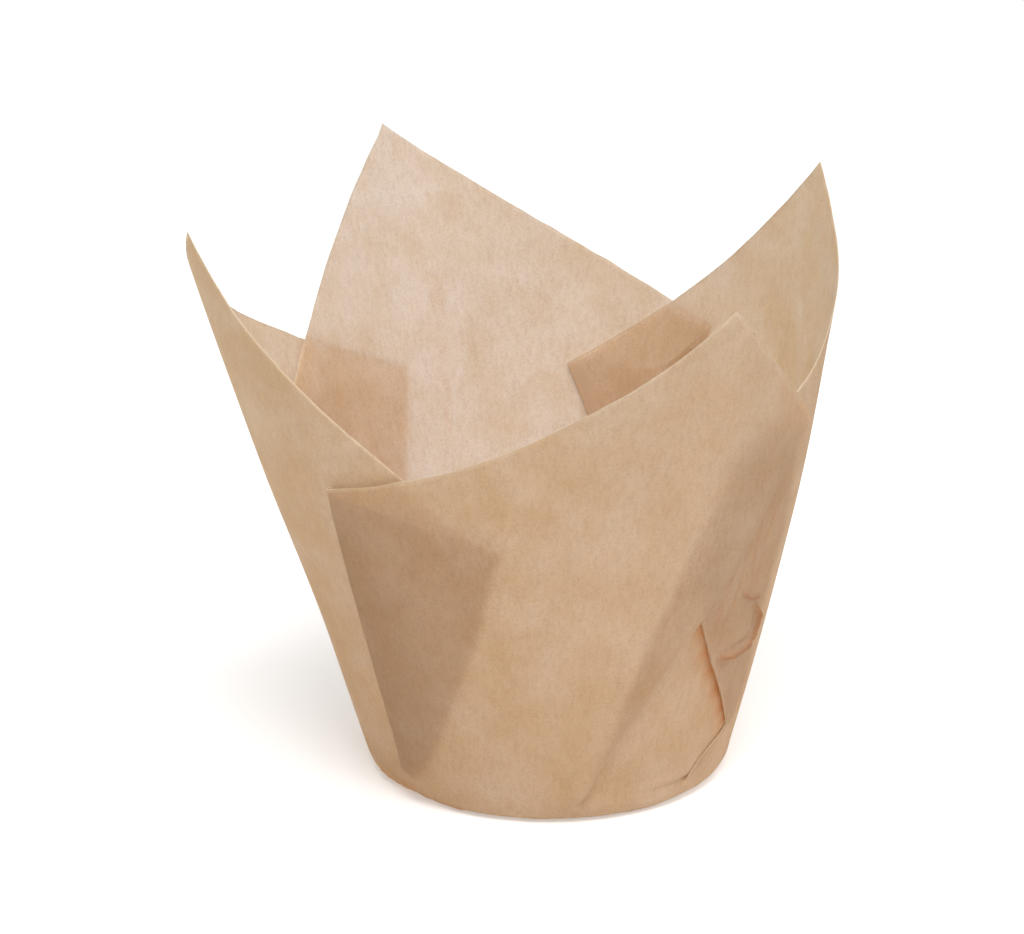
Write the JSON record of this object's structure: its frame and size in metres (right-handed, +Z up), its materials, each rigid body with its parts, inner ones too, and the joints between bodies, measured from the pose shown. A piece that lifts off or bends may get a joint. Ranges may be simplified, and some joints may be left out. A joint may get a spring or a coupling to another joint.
{
  "type": "cupcake liner",
  "caption": "Tulip baking cup folded from a square sheet of unbleached greaseproof paper: flat round base, pleated wall and pointed petals.",
  "frame": {"origin": "centre of the underside of the round base", "axes": "+Z up out of the cup; -Y towards the viewer of the picture; +X to the right"},
  "size_m": [0.0874, 0.0819, 0.0822],
  "materials": {
    "greaseproof_paper": "matt unbleached greaseproof paper, thin and slightly see-through"
  },
  "bodies": {
    "root": {"liner": "greaseproof_paper"}
  },
  "joints": []
}
